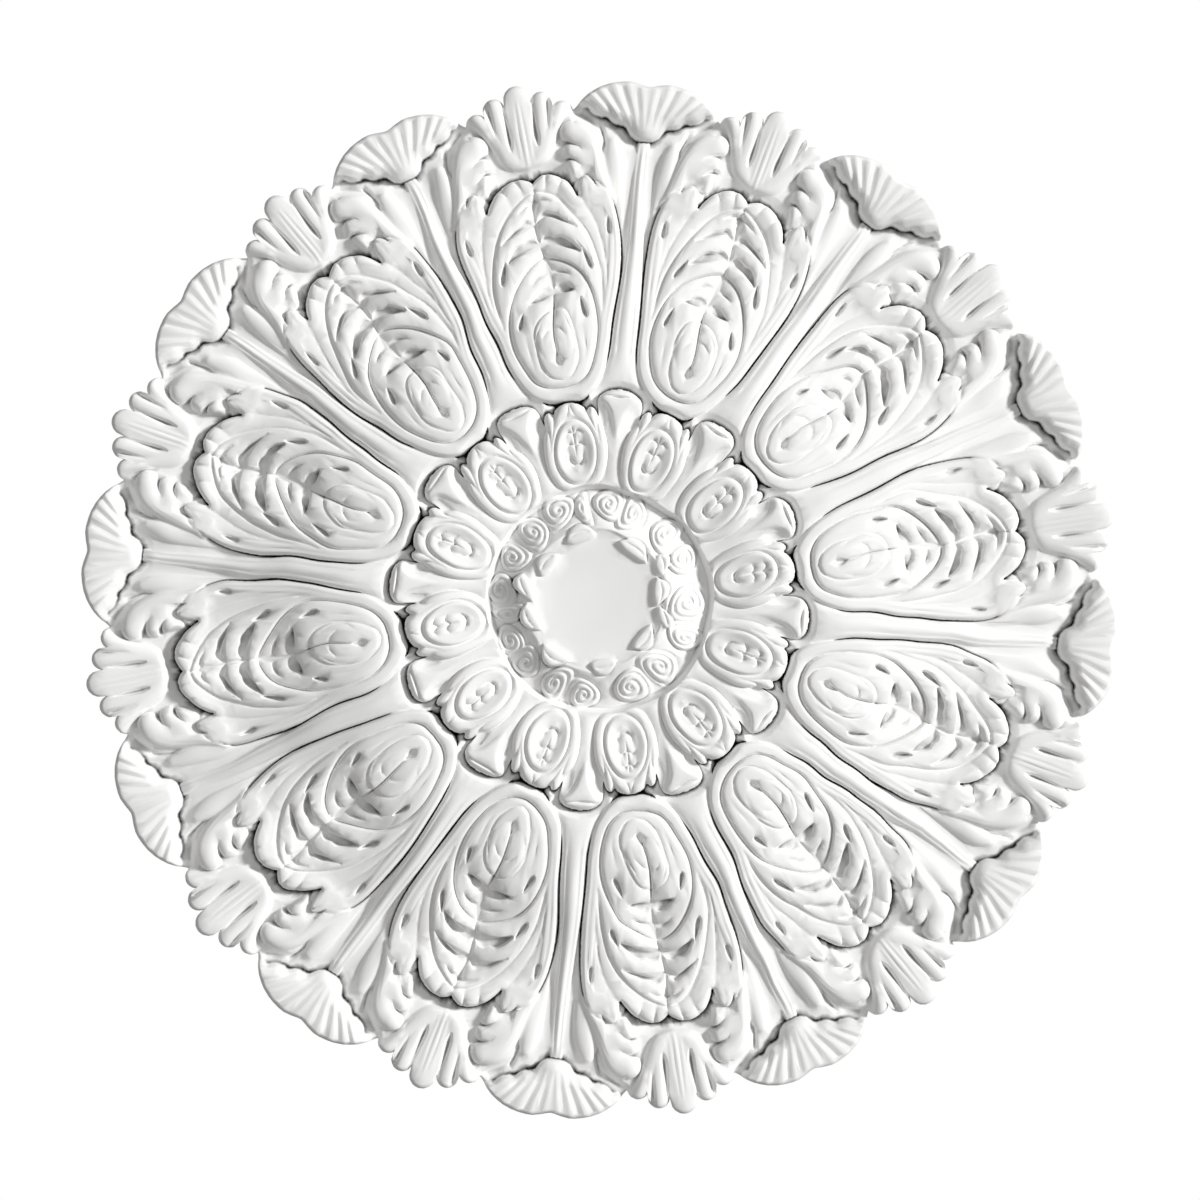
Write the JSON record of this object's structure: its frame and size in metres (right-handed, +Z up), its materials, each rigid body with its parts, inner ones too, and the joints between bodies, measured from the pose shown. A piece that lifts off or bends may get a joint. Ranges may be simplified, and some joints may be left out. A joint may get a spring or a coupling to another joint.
{
  "type": "ceiling rose",
  "caption": "Round cast plaster ceiling rose carved with acanthus petals, stems between them, a ring of cartouches and a plain domed boss, with a flat back and a leafy, scalloped rim.",
  "frame": {"origin": "middle of the flat back, which lies against the ceiling", "axes": "+Z up, out of the back into the ceiling; the carved face looks down, toward -Z; +Y toward the top of the picture and -X toward its right"},
  "size_m": [0.7988, 0.7988, 0.053],
  "materials": {
    "plaster": "matt"
  },
  "bodies": {
    "root": {"ceiling_rose": "plaster"}
  },
  "joints": []
}
